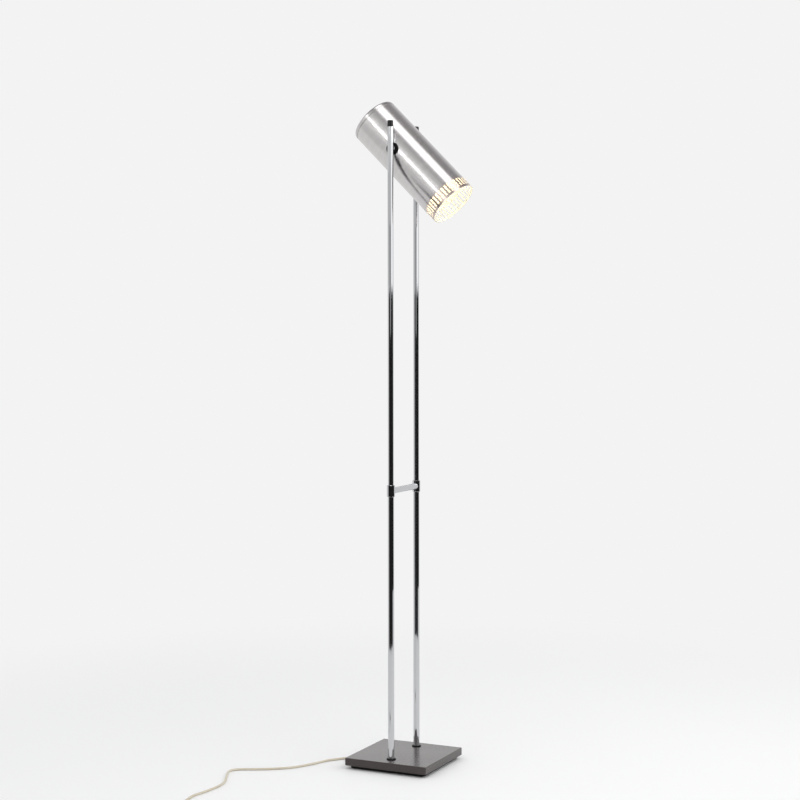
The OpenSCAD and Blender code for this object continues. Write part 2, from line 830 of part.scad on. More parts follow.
module bulb_glass() {
    color("white")
    in_shade() rotate_extrude() polygon(concat(
        bulb_outline(0),
        [[bulb_neck_r, bulb_neck_at + slip], [bulb_neck_r - glass_t, bulb_neck_at + slip]],
        [for (i = [len(bulb_outline(0)) - 1 : -1 : 0]) bulb_outline(glass_t)[i]]
    ));
}

module shade_lead() {
    color(gold_flex) in_shade() sweep(centres(shade_route), lead_d, 8, [0, -1, 0], [0, 0, 1], [1, 0, 0]);
}

// ---- the lamp ----

base_plate();
plinth();
base_felt();
plinth_screws();
foot_ring(front);  // foot_ring_front
foot_ring(back);  // foot_ring_back
foot_plugs();
foot_nipples();
foot_nuts();
foot_washers();
outer_tube(front);  // outer_tube_front
outer_tube(back);  // outer_tube_back
collar(front);  // collar_front
collar(back);  // collar_back
friction_bush(front);  // friction_bush_front
friction_bush(back);  // friction_bush_back
crossbar();
terminal_block();
cord_anchor();
wiring_screws();
base_lead();
cord_end();
mains_cord();
switch_base();
switch_cover();
switch_rocker();
link_cord();
cord_coil();
plug_cord();
plug_body();
plug_pins();
inner_tube(front);  // inner_tube_front
inner_tube(back);  // inner_tube_back
guide_bush(front);  // guide_bush_front
guide_bush(back);  // guide_bush_back
tube_cap(front);  // tube_cap_front
tube_cap(back);  // tube_cap_back
pivot_insert(front);  // pivot_insert_front
pivot_insert(back);  // pivot_insert_back
pivot_screw(front);  // pivot_screw_front
pivot_screw(back);  // pivot_screw_back
pivot_washers();
spring_washers();
tube_lead();
coiled_lead();
shade_shell();
shade_lid();
pivot_disc(front);  // pivot_disc_front
pivot_disc(back);  // pivot_disc_back
saddle_spacers();
holder_bracket();
holder_nipple();
holder_nut();
holder_cap();
holder_barrel();
thread_shell();
bulb_glass();
bulb_cap();
shade_lead();
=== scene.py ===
# Telescopic floor lamp: the finish of every piece, its cord at full length, and a plain pale studio round it.
# Metres, in the lamp's own frame: the floor is z = 0, the tubes stand along Y, the shade points to +X.

import math

import bpy
import numpy as np
from mathutils import Matrix, Vector


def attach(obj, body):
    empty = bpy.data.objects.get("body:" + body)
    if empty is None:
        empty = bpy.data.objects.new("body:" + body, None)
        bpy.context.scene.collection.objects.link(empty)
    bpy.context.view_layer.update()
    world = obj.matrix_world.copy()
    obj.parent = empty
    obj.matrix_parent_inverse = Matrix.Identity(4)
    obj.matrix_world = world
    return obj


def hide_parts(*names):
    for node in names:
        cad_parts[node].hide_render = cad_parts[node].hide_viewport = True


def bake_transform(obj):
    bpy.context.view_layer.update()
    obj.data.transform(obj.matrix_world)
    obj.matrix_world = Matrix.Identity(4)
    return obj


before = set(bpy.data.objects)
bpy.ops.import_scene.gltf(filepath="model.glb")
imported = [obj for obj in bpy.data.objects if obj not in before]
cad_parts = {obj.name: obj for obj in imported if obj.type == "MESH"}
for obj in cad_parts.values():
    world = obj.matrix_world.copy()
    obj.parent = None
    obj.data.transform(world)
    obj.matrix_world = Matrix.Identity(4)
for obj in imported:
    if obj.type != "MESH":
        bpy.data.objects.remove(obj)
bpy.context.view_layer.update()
scene = bpy.context.scene
scene.view_settings.view_transform = "Standard"

# ---------------------------------------------------------------------------
# Camera
# A long lens at two thirds of the lamp's height, some 26 degrees to the right
# of the tubes' own plane, tipped slightly down.
# ---------------------------------------------------------------------------

camera_place = (1.6441, -3.4446, 0.9881)
camera_turn = math.radians(25.640)    # from +Y towards -X
camera_tip = math.radians(-2.401)
camera_roll = math.radians(-0.068)
focal_px = 1693.3
photo_px = 800
sensor_mm = 36

look = Vector((
    -math.sin(camera_turn) * math.cos(camera_tip),
    math.cos(camera_turn) * math.cos(camera_tip),
    math.sin(camera_tip),
))
level = Vector((math.cos(camera_turn), math.sin(camera_turn), 0))
upright = level.cross(look)
right = level * math.cos(camera_roll) + upright * math.sin(camera_roll)
top = upright * math.cos(camera_roll) - level * math.sin(camera_roll)

camera = bpy.data.objects.new("camera", bpy.data.cameras.new("camera"))
camera.data.sensor_width = sensor_mm
camera.data.lens = focal_px / photo_px * sensor_mm
camera.data.clip_end = 200
camera.matrix_world = Matrix((
    (right.x, top.x, -look.x, camera_place[0]),
    (right.y, top.y, -look.y, camera_place[1]),
    (right.z, top.z, -look.z, camera_place[2]),
    (0, 0, 0, 1),
))
scene.collection.objects.link(camera)
scene.camera = camera

# ---------------------------------------------------------------------------
# Mains cord, base to switch
# Round two-core flex in a pale gold PVC sheath, 5 mm thick. It leaves the
# anchor in the base on the side away from the shade's mouth, drops to the
# floor there and wanders towards the camera.
# ---------------------------------------------------------------------------

cord_d = 0.005
mains_route = [
    (-66, 0, 9), (-74, 0, 8.2), (-84, 0, 6.0), (-92, 0, 4.8), (-104, -1, 3.4), (-116, -6, 2.6),
    (-128, -14, 2.5), (-139, -25, 2.5), (-154, -43, 2.5), (-167, -62, 2.5), (-183, -103, 2.5),
    (-205, -144, 2.5), (-230, -168, 2.5), (-256, -186, 2.5), (-280, -199, 2.5), (-300, -208.5, 2.5),
    (-314, -218.5, 2.5), (-319.5, -232, 2.5), (-316.5, -247, 2.5), (-301, -279, 2.5), (-284, -313, 2.5),
    (-276, -343, 2.5), (-276, -374, 2.5), (-280, -412, 2.5), (-284, -438, 2.5), (-280, -470, 2.5),
    (-269, -500, 2.5), (-255, -526, 2.5), (-239, -548, 2.8), (-220, -561, 4.5), (-206, -565, 6.2),
    (-196, -565, 6.5),
]


def metres(route):
    """A route in millimetres as an array of points in metres."""
    return np.array(route, dtype=float) / 1000


def tangents(points):
    """Half of the step from the point before to the point after; a whole step at the two ends."""
    inner = (points[2:] - points[:-2]) / 2
    return np.vstack([points[1] - points[0], inner, points[-1] - points[-2]])


def lay_cord(name, points, diameter):
    """A round section along one open Bezier spline; each handle is a third of the tangent at its point."""
    curve = bpy.data.curves.new(name, "CURVE")
    curve.dimensions = "3D"
    curve.bevel_depth = diameter / 2
    curve.bevel_resolution = 6
    curve.resolution_u = 8
    curve.use_fill_caps = True
    spline = curve.splines.new("BEZIER")
    spline.bezier_points.add(len(points) - 1)
    handle = tangents(points) / 3
    spline.bezier_points.foreach_set("handle_left_type", np.zeros(len(points), dtype=np.int32))
    spline.bezier_points.foreach_set("handle_right_type", np.zeros(len(points), dtype=np.int32))
    spline.bezier_points.foreach_set("co", points.ravel())
    spline.bezier_points.foreach_set("handle_left", (points - handle).ravel())
    spline.bezier_points.foreach_set("handle_right", (points + handle).ravel())
    obj = bpy.data.objects.new(name, curve)
    scene.collection.objects.link(obj)
    return obj


def colour(red, green, blue):
    """The linear colour of an sRGB one given as 0 to 255, with full opacity."""
    share = np.array([red, green, blue]) / 255
    return (*np.where(share <= 0.04045, share / 12.92, ((share + 0.055) / 1.055) ** 2.4), 1.0)


def new_finish(name, base, roughness, metallic=0.0):
    """A material with one Principled shader; returns the material, its nodes, its linker and the shader."""
    material = bpy.data.materials.new(name)
    material.use_nodes = True
    nodes, links = material.node_tree.nodes, material.node_tree.links
    shader = nodes["Principled BSDF"]
    shader.inputs["Base Color"].default_value = base
    shader.inputs["Roughness"].default_value = roughness
    shader.inputs["Metallic"].default_value = metallic
    return material, nodes, links.new, shader


def add_node(nodes, kind, **values):
    """A node of this kind; a value goes to the socket of that name, or to the node's own setting."""
    node = nodes.new("ShaderNode" + kind)
    for key, value in values.items():
        label = key.replace("_", " ").title()
        if label in node.inputs:
            node.inputs[label].default_value = value
        else:
            setattr(node, key, value)
    return node


def new_effect(name, inputs, outputs):
    """An empty shader node group with these inputs and outputs, and its group input and output nodes."""
    group = bpy.data.node_groups.new(name, "ShaderNodeTree")
    for label, kind, value in inputs:
        socket = group.interface.new_socket(label, in_out="INPUT", socket_type="NodeSocket" + kind)
        if value is not None:
            socket.default_value = value
    for label, kind in outputs:
        group.interface.new_socket(label, in_out="OUTPUT", socket_type="NodeSocket" + kind)
    return group, group.nodes.new("NodeGroupInput"), group.nodes.new("NodeGroupOutput")


# Handling marks: large soft patches times fine ones, from 0, clean, to 1, marked.
handling, taken, given = new_effect(
    "handling_marks",
    [("Vector", "Vector", None), ("Scale", "Float", 20.0), ("Fine Scale", "Float", 300.0)],
    [("Marks", "Float")],
)
patches = add_node(handling.nodes, "TexNoise", detail=3.0)
streaks = add_node(handling.nodes, "TexNoise", detail=4.0, roughness=0.6)
both = add_node(handling.nodes, "Math", operation="MULTIPLY")
lifted = add_node(handling.nodes, "MapRange", from_min=0.12, from_max=0.42)
for source, target in (
    (taken.outputs["Vector"], patches.inputs["Vector"]), (taken.outputs["Scale"], patches.inputs["Scale"]),
    (taken.outputs["Vector"], streaks.inputs["Vector"]),
    (taken.outputs["Fine Scale"], streaks.inputs["Scale"]),
    (patches.outputs["Fac"], both.inputs[0]), (streaks.outputs["Fac"], both.inputs[1]),
    (both.outputs["Value"], lifted.inputs["Value"]), (lifted.outputs["Result"], given.inputs["Marks"]),
):
    handling.links.new(source, target)


def mark_finish(nodes, link, shader, scale, fine_scale, clean, marked):
    """Handling marks move the roughness from its clean to its marked value; gives the place and the marks."""
    place = add_node(nodes, "TexCoord")
    marks = add_node(nodes, "Group", node_tree=handling)
    marks.inputs["Scale"].default_value = scale
    marks.inputs["Fine Scale"].default_value = fine_scale
    spread = add_node(nodes, "MapRange", to_min=clean, to_max=marked)
    link(place.outputs["Object"], marks.inputs["Vector"])
    link(marks.outputs["Marks"], spread.inputs["Value"])
    link(spread.outputs["Result"], shader.inputs["Roughness"])
    return place, marks


def tint(nodes, link, shader, mask, low, high):
    """Mixes the base colour from low to high where the mask says."""
    mix = add_node(nodes, "Mix", data_type="RGBA")
    mix.inputs[6].default_value = low
    mix.inputs[7].default_value = high
    link(mask, mix.inputs["Factor"])
    link(mix.outputs[2], shader.inputs["Base Color"])


def emboss(nodes, link, shader, height, depth, strength=1.0):
    """Feeds a height to the shader's normal through a Bump node; depth is in metres."""
    bump = add_node(nodes, "Bump", strength=strength, distance=depth)
    link(height, bump.inputs["Height"])
    link(bump.outputs["Normal"], shader.inputs["Normal"])


gold_flex, nodes, link, shader = new_finish("gold_flex", colour(212, 203, 184), 0.36)
shader.inputs["Subsurface Weight"].default_value = 0.12
shader.inputs["Subsurface Radius"].default_value = (0.004, 0.003, 0.0015)
shader.inputs["Subsurface Scale"].default_value = 0.5
place, marks = mark_finish(nodes, link, shader, scale=14.0, fine_scale=420.0, clean=0.30, marked=0.48)
tint(nodes, link, shader, marks.outputs["Marks"], colour(214, 206, 190), colour(198, 188, 168))
sheath = add_node(nodes, "TexNoise", scale=900.0, detail=2.0)
link(place.outputs["Object"], sheath.inputs["Vector"])
emboss(nodes, link, shader, sheath.outputs["Fac"], depth=0.00004, strength=0.4)

mains_cord = lay_cord("mains_cord_lead", metres(mains_route), cord_d)
mains_cord.data.materials.append(gold_flex)
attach(mains_cord, "stand")
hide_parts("mains_cord")

# ---------------------------------------------------------------------------
# Cord from switch to plug
# The same flex. The length that the lamp doesn't need is wound into a neat
# flat coil, two layers of three turns, and the last stretch lies on top.
# ---------------------------------------------------------------------------

coil_centre = (-0.088, -0.527)
coil_r = 0.038
coil_pitch = 0.0056
coil_lift = 0.0055
coil_turns = 3        # in each layer
climb_turns = 0.5
points_per_turn = 16
link_route = [(-132, -565, 6.5), (-124, -565, 6.2), (-112, -565, 4.0), (-98, -565, 2.5)]
plug_route = [(-76, -562.1, 8), (-60, -562, 7.4), (-48, -562, 6.85), (-38, -562, 6.85)]


def coil_points():
    """The radius falls by one pitch a turn, stays while the line climbs a layer, and grows again."""
    turn = np.arange(2 * coil_turns * points_per_turn + 1) / points_per_turn
    climb = np.clip((turn - coil_turns) / climb_turns, 0, 1)
    inner_r = coil_r - coil_pitch * coil_turns
    radius = inner_r + coil_pitch * np.maximum(coil_turns - turn, turn - coil_turns - climb_turns)
    angle = 2 * np.pi * turn - np.pi / 2
    return np.stack([
        coil_centre[0] + radius * np.cos(angle),
        coil_centre[1] + radius * np.sin(angle),
        cord_d / 2 + coil_lift * climb ** 2 * (3 - 2 * climb),
    ], axis=1)


plug_points = np.vstack([metres(link_route), coil_points(), metres(plug_route)])
plug_lead = lay_cord("plug_cord_lead", plug_points, cord_d)
plug_lead.data.materials.append(gold_flex)
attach(plug_lead, "stand")
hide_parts("link_cord", "cord_coil", "plug_cord")

# ---------------------------------------------------------------------------
# Cord sleeves
# Black soft PVC, moulded round the flex where it enters the base's anchor, the
# switch and the plug. Each tapers away from its housing and is ribbed to bend.
# ---------------------------------------------------------------------------

sleeve_len = 0.022
sleeve_root_r = 0.0043
sleeve_tip_r = 0.0031
sleeve_bore_r = 0.00256
sleeve_ribs = 5
rib_depth = 0.0004
ribs_from, ribs_to = 0.22, 0.95    # as shares of the sleeve's length
sleeve_rings = 61
sleeve_sides = 28
look_ahead = 0.0005    # how far along a line its direction is taken, each way


def curve_through(points, steps=12):
    """Points on the smooth cubic through the given ones, with the same tangents as the cord's own handles."""
    slope = tangents(points)
    share = (np.arange(steps) / steps)[:, None, None]
    start, end, leave, arrive = points[:-1], points[1:], slope[:-1], slope[1:]
    line = (
        (2 * share ** 3 - 3 * share ** 2 + 1) * start + (share ** 3 - 2 * share ** 2 + share) * leave
        + (3 * share ** 2 - 2 * share ** 3) * end + (share ** 3 - share ** 2) * arrive
    )
    return np.vstack([line.transpose(1, 0, 2).reshape(-1, 3), points[-1]])


def along(line, distance):
    """The points and unit directions on a line at these distances from its start, both by linear steps."""
    run = np.concatenate([[0], np.cumsum(np.linalg.norm(np.diff(line, axis=0), axis=1))])
    place = np.stack([np.interp(distance, run, line[:, k]) for k in range(3)], axis=1)
    ahead = np.stack([np.interp(distance + look_ahead, run, line[:, k]) for k in range(3)], axis=1)
    behind = np.stack([np.interp(distance - look_ahead, run, line[:, k]) for k in range(3)], axis=1)
    heading = ahead - behind
    return place, heading / np.linalg.norm(heading, axis=1, keepdims=True)


def carried_profile(line, distance, radius, sides, across):
    """A radius over distance, turned round a line: centre + radius * (cos a * side + sin a * up)."""
    centre, heading = along(line, distance)
    side = np.cross(heading, across)
    side /= np.linalg.norm(side, axis=1, keepdims=True)
    up = np.cross(side, heading)
    angle = 2 * np.pi * np.arange(sides) / sides
    ring = np.cos(angle)[:, None] * side[:, None, :] + np.sin(angle)[:, None] * up[:, None, :]
    return centre[:, None, :] + radius[:, None, None] * ring


def surface_mesh(name, grid, closed_rings=True):
    """A grid of rings as a closed mesh: the rings join into a loop, or end in two flat caps."""
    rings, sides = grid.shape[:2]
    index = np.arange(rings * sides).reshape(rings, sides)
    here = index if closed_rings else index[:-1]
    there = np.roll(index, -1, axis=0) if closed_rings else index[1:]
    faces = np.stack([here, np.roll(here, -1, axis=1), np.roll(there, -1, axis=1), there], axis=-1)
    faces = faces.reshape(-1, 4).tolist()
    if not closed_rings:
        faces += [index[0, ::-1].tolist(), index[-1].tolist()]
    mesh = bpy.data.meshes.new(name)
    mesh.from_pydata(grid.reshape(-1, 3).tolist(), [], faces)
    mesh.shade_smooth()
    mesh.update()
    obj = bpy.data.objects.new(name, mesh)
    scene.collection.objects.link(obj)
    return obj


def mould_sleeve(name, points):
    """A tapering radius with ribs, out along the flex from its housing and back along the bore."""
    out = np.linspace(0, 1, sleeve_rings)
    ribbed = (out > ribs_from) & (out < ribs_to)
    waves = np.cos(2 * np.pi * sleeve_ribs * (out - ribs_from) / (ribs_to - ribs_from)) - 1
    skin = sleeve_root_r + (sleeve_tip_r - sleeve_root_r) * out + np.where(ribbed, rib_depth / 2 * waves, 0)
    distance = np.concatenate([out, out[::-1]]) * sleeve_len
    radius = np.concatenate([skin, np.full(len(out), sleeve_bore_r)])
    grid = carried_profile(curve_through(points), distance, radius, sleeve_sides, (0, 0, 1))
    return surface_mesh(name, grid)


# Moulded grain: a fine even pebble, as a height from 0 to 1.
moulded_grain, taken, given = new_effect(
    "moulded_grain", [("Vector", "Vector", None), ("Scale", "Float", 2500.0)], [("Height", "Float")]
)
pebble = add_node(moulded_grain.nodes, "TexVoronoi", feature="SMOOTH_F1")
moulded_grain.links.new(taken.outputs["Vector"], pebble.inputs["Vector"])
moulded_grain.links.new(taken.outputs["Scale"], pebble.inputs["Scale"])
moulded_grain.links.new(pebble.outputs["Distance"], given.inputs["Height"])

# Settled dust: where a face looks up, broken by noise, from 0 to 1.
settled_dust, taken, given = new_effect(
    "settled_dust", [("Vector", "Vector", None), ("Amount", "Float", 0.3)], [("Dust", "Float")]
)
facing = add_node(settled_dust.nodes, "NewGeometry")
parts = add_node(settled_dust.nodes, "SeparateXYZ")
upward = add_node(settled_dust.nodes, "MapRange", from_min=0.3, from_max=1.0)
specks = add_node(settled_dust.nodes, "TexNoise", scale=700.0, detail=5.0, roughness=0.7)
sparse = add_node(settled_dust.nodes, "MapRange", from_min=0.45, from_max=0.8)
resting = add_node(settled_dust.nodes, "Math", operation="MULTIPLY")
scaled = add_node(settled_dust.nodes, "Math", operation="MULTIPLY")
for source, target in (
    (facing.outputs["Normal"], parts.inputs["Vector"]), (parts.outputs["Z"], upward.inputs["Value"]),
    (taken.outputs["Vector"], specks.inputs["Vector"]), (specks.outputs["Fac"], sparse.inputs["Value"]),
    (upward.outputs["Result"], resting.inputs[0]), (sparse.outputs["Result"], resting.inputs[1]),
    (resting.outputs["Value"], scaled.inputs[0]), (taken.outputs["Amount"], scaled.inputs[1]),
    (scaled.outputs["Value"], given.inputs["Dust"]),
):
    settled_dust.links.new(source, target)


def plastic(name, base, dusty, grain_scale, grain_depth, clean, marked, dust):
    """A moulded plastic: grain in its height, handling in its gloss and a little dust in its colour."""
    material, nodes, link, shader = new_finish(name, base, clean)
    place, _ = mark_finish(nodes, link, shader, 30.0, 500.0, clean, marked)
    grain = add_node(nodes, "Group", node_tree=moulded_grain)
    grain.inputs["Scale"].default_value = grain_scale
    settled = add_node(nodes, "Group", node_tree=settled_dust)
    settled.inputs["Amount"].default_value = dust
    link(place.outputs["Object"], grain.inputs["Vector"])
    link(place.outputs["Object"], settled.inputs["Vector"])
    tint(nodes, link, shader, settled.outputs["Dust"], base, dusty)
    emboss(nodes, link, shader, grain.outputs["Height"], grain_depth, strength=0.5)
    return material


black_sleeve = plastic(
    "black_sleeve", colour(24, 23, 22), colour(90, 88, 84),
    grain_scale=3200.0, grain_depth=0.00003, clean=0.45, marked=0.6, dust=0.25,
)
base_sleeve = mould_sleeve("base_sleeve", metres(mains_route[:6]))
switch_sleeve_in = mould_sleeve("switch_sleeve_in", metres(mains_route[::-1][:6]))
switch_sleeve_out = mould_sleeve("switch_sleeve_out", metres([*link_route, (-88, -565, 2.5)]))
plug_sleeve = mould_sleeve("plug_sleeve", metres([*plug_route[::-1], (-88, -562.2, 8)]))
sleeves = [base_sleeve, switch_sleeve_in, switch_sleeve_out, plug_sleeve]
for sleeve in sleeves:
    sleeve.data.materials.append(black_sleeve)
    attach(sleeve, "stand")

# ---------------------------------------------------------------------------
# Switch on the cord
# Two halves of black moulded plastic closed round the flex, with a rocker in
# the upper one that a foot or a thumb tips.
# ---------------------------------------------------------------------------


def finish_with(material, *names):
    """Gives these CAD pieces a material."""
    for name in names:
        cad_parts[name].data.materials[0] = material


black_moulding = plastic(
    "black_moulding", colour(22, 21, 21), colour(95, 93, 90),
    grain_scale=2600.0, grain_depth=0.00004, clean=0.38, marked=0.55, dust=0.3,
)
black_gloss = plastic(
    "black_gloss", colour(12, 12, 12), colour(90, 90, 88),
    grain_scale=4200.0, grain_depth=0.00001, clean=0.16, marked=0.30, dust=0.12,
)
black_satin = plastic(
    "black_satin", colour(7, 7, 7), colour(50, 50, 48),
    grain_scale=3400.0, grain_depth=0.00002, clean=0.44, marked=0.6, dust=0.06,
)
black_gloss.node_tree.nodes["Principled BSDF"].inputs["Specular IOR Level"].default_value = 0.3
black_satin.node_tree.nodes["Principled BSDF"].inputs["Specular IOR Level"].default_value = 0.15
finish_with(black_moulding, "switch_base", "switch_cover")
finish_with(black_gloss, "switch_rocker")

# ---------------------------------------------------------------------------
# Plug
# A flat-sided two-pin plug, moulded in black plastic round two brass pins.
# The pins are turned and their tips are rounded.
# ---------------------------------------------------------------------------


def metal(name, base, dull, scale, fine_scale, clean, marked):
    """A bare or plated metal: handling marks in its gloss and a slight dulling of its colour."""
    material, nodes, link, shader = new_finish(name, base, clean, 1.0)
    place, marks = mark_finish(nodes, link, shader, scale, fine_scale, clean, marked)
    tint(nodes, link, shader, marks.outputs["Marks"], base, dull)
    scratches = add_node(nodes, "TexNoise", scale=1800.0, detail=2.0)
    link(place.outputs["Object"], scratches.inputs["Vector"])
    emboss(nodes, link, shader, scratches.outputs["Fac"], depth=0.000004, strength=0.4)
    return material


brass = metal(
    "brass", (0.78, 0.56, 0.25, 1), (0.55, 0.40, 0.20, 1),
    scale=60.0, fine_scale=900.0, clean=0.20, marked=0.36,
)
finish_with(black_moulding, "plug_body")
finish_with(brass, "plug_pins")

# ---------------------------------------------------------------------------
# Base plate
# A solid steel plate, its edges just broken, stove enamelled in a warm dark
# grey satin. The paint lies in a fine orange peel and is rubbed along its edges.
# ---------------------------------------------------------------------------

plate_half = 0.1
plate_top = 0.025
rub_width = 0.0016

paint_dark = colour(64, 57, 56)
paint_worn = colour(110, 103, 100)
base_paint, nodes, link, shader = new_finish("base_paint", paint_dark, 0.25)
shader.inputs["Specular IOR Level"].default_value = 0.25
shader.inputs["Coat Weight"].default_value = 0.9
shader.inputs["Coat IOR"].default_value = 1.2
shader.inputs["Coat Roughness"].default_value = 0.2
place, _ = mark_finish(nodes, link, shader, scale=9.0, fine_scale=160.0, clean=0.19, marked=0.30)
corner = add_node(nodes, "VectorMath", operation="ABSOLUTE")
apart = add_node(nodes, "SeparateXYZ")
reach = add_node(nodes, "Math", operation="MAXIMUM")
rim_side = add_node(nodes, "MapRange", from_min=plate_half - rub_width, from_max=plate_half)
rim_top = add_node(nodes, "MapRange", from_min=plate_top - rub_width, from_max=plate_top)
at_edge = add_node(nodes, "Math", operation="MULTIPLY")
rubbed = add_node(nodes, "TexNoise", scale=140.0, detail=5.0, roughness=0.65)
rubbed_range = add_node(nodes, "MapRange", from_min=0.35, from_max=0.75)
wear = add_node(nodes, "Math", operation="MULTIPLY")
link(place.outputs["Object"], corner.inputs[0])
link(corner.outputs["Vector"], apart.inputs["Vector"])
link(apart.outputs["X"], reach.inputs[0])
link(apart.outputs["Y"], reach.inputs[1])
link(reach.outputs["Value"], rim_side.inputs["Value"])
link(apart.outputs["Z"], rim_top.inputs["Value"])
link(rim_side.outputs["Result"], at_edge.inputs[0])
link(rim_top.outputs["Result"], at_edge.inputs[1])
link(place.outputs["Object"], rubbed.inputs["Vector"])
link(rubbed.outputs["Fac"], rubbed_range.inputs["Value"])
link(at_edge.outputs["Value"], wear.inputs[0])
link(rubbed_range.outputs["Result"], wear.inputs[1])
tint(nodes, link, shader, wear.outputs["Value"], paint_dark, paint_worn)
peel = add_node(nodes, "TexNoise", scale=520.0, detail=2.0)
link(place.outputs["Object"], peel.inputs["Vector"])
emboss(nodes, link, shader, peel.outputs["Fac"], depth=0.00003, strength=0.4)
finish_with(base_paint, "base_plate")

# ---------------------------------------------------------------------------
# Plinth and felt
# A shallow black plastic tray, set in from the plate's edge and screwed up
# into it, with a sheet of black felt glued under it to save the floor.
# ---------------------------------------------------------------------------

black_felt, nodes, link, shader = new_finish("black_felt", colour(18, 18, 18), 0.95)
shader.inputs["Sheen Weight"].default_value = 0.4
shader.inputs["Sheen Roughness"].default_value = 0.6
place = add_node(nodes, "TexCoord")
fibre = add_node(nodes, "TexNoise", scale=1400.0, detail=6.0, roughness=0.8, distortion=1.5)
link(place.outputs["Object"], fibre.inputs["Vector"])
tint(nodes, link, shader, fibre.outputs["Fac"], colour(10, 10, 10), colour(34, 33, 32))
emboss(nodes, link, shader, fibre.outputs["Fac"], depth=0.0003)
steel = metal(
    "steel", (0.56, 0.57, 0.58, 1), (0.42, 0.42, 0.41, 1),
    scale=80.0, fine_scale=1200.0, clean=0.26, marked=0.42,
)
finish_with(black_satin, "plinth")
finish_with(black_felt, "base_felt")
finish_with(steel, "plinth_screws")

# ---------------------------------------------------------------------------
# Feet of the tubes
# A threaded plug is brazed into each tube. A hollow brass nipple, a washer and
# a nut under the plate pull it down, and a black ring hides the joint on top.
# ---------------------------------------------------------------------------

finish_with(black_satin, "foot_ring_front", "foot_ring_back")
finish_with(steel, "foot_plugs", "foot_nuts", "foot_washers")
finish_with(brass, "foot_nipples")

# ---------------------------------------------------------------------------
# Wiring in the base
# A glazed ceramic terminal block, the anchor that grips the cord, and short
# lengths of flex from the anchor to the block and on to the back tube.
# ---------------------------------------------------------------------------

lead_d = 0.0036
lead_sides = 20
least_rings = 12
ring_step = 0.6    # between a lead's rings, in diameters
end_route = [(-10, 0, 12), (-20, 0, 12), (-34, 0, 10.5), (-48, 0, 9), (-56, 0, 9), (-66, 0, 9)]
base_route = [
    (0, 8, 11), (0, 14, 10.4), (0, 24, 7), (0, 34, 5.6), (0, 50, 5.6), (0, 58, 5.7),
    (0, 63.5, 7.8), (0, 66.3, 12), (0, 66.75, 18), (0, 66.75, 40),
]


def draw_lead(name, route, diameter, across, body):
    """A round lead swept along the smooth line of its route, with flat ends, in place of its CAD solid."""
    line = curve_through(metres(route), steps=10)
    length = np.linalg.norm(np.diff(line, axis=0), axis=1).sum()
    distance = np.linspace(0, length, max(least_rings, int(length / (ring_step * diameter))))
    radius = np.full(len(distance), diameter / 2)
    grid = carried_profile(line, distance, radius, lead_sides, across)
    lead = surface_mesh(name + "_flex", grid, closed_rings=False)
    lead.data.materials.append(gold_flex)
    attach(lead, body)
    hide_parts(name)


ceramic, nodes, link, shader = new_finish("ceramic", colour(236, 233, 222), 0.16)
shader.inputs["Coat Weight"].default_value = 0.4
_, marks = mark_finish(nodes, link, shader, scale=60.0, fine_scale=500.0, clean=0.12, marked=0.24)
tint(nodes, link, shader, marks.outputs["Marks"], colour(238, 235, 225), colour(222, 216, 200))
draw_lead("cord_end", end_route, cord_d, (0, 1, 0), "stand")
draw_lead("base_lead", base_route, lead_d, (1, 0, 0), "stand")
finish_with(ceramic, "terminal_block")
finish_with(black_moulding, "cord_anchor")
finish_with(steel, "wiring_screws")

# ---------------------------------------------------------------------------
# Outer tubes, collars and crossbar
# Drawn steel tube, turned collars and a round bar between them, all polished
# and chromium plated, so each shows the floor and the studio round it.
# ---------------------------------------------------------------------------


def plated(name, haze):
    """Bright chromium plate: a cool grey mirror with faint smears and polishing lines along the tube."""
    material, nodes, link, shader = new_finish(name, (0.555, 0.56, 0.575, 1), 0.05, 1.0)
    place, _ = mark_finish(nodes, link, shader, 26.0, 340.0, clean=haze * 0.6, marked=haze * 1.3)
    stretch = add_node(nodes, "Mapping", scale=(900, 900, 12))
    lines = add_node(nodes, "TexNoise", scale=1.0, detail=1.0)
    link(place.outputs["Object"], stretch.inputs["Vector"])
    link(stretch.outputs["Vector"], lines.inputs["Vector"])
    emboss(nodes, link, shader, lines.outputs["Fac"], depth=0.0000004, strength=0.2)
    return material


chrome = plated("chrome", haze=0.05)
finish_with(chrome, "outer_tube_front", "outer_tube_back", "collar_front", "collar_back", "crossbar")

# ---------------------------------------------------------------------------
# Bushes
# Rings of black nylon: one in each collar grips the inner tube, and one on
# each inner tube's foot keeps it central in the outer tube.
# ---------------------------------------------------------------------------

finish_with(black_moulding, "friction_bush_front", "friction_bush_back")
finish_with(black_moulding, "guide_bush_front", "guide_bush_back")

# ---------------------------------------------------------------------------
# Inner tubes and their end caps
# Chromium plated tubes that slide out of the outer ones, each closed by a
# black plastic cap pushed into its bore.
# ---------------------------------------------------------------------------

finish_with(chrome, "inner_tube_front", "inner_tube_back")
finish_with(black_gloss, "tube_cap_front", "tube_cap_back")

# ---------------------------------------------------------------------------
# Pivot
# A steel insert in each tube takes a screw from inside the shade. The back
# screw is hollow for the lead. A plated washer turns against the black disc.
# ---------------------------------------------------------------------------

finish_with(steel, "pivot_insert_front", "pivot_insert_back", "pivot_screw_front", "pivot_screw_back")
finish_with(steel, "spring_washers")
finish_with(chrome, "pivot_washers")

# ---------------------------------------------------------------------------
# Leads up to the shade
# A curly lead in the outer tube takes up the slack as the lamp is lowered. It
# goes on straight up the inner tube and out through the hollow screw.
# ---------------------------------------------------------------------------

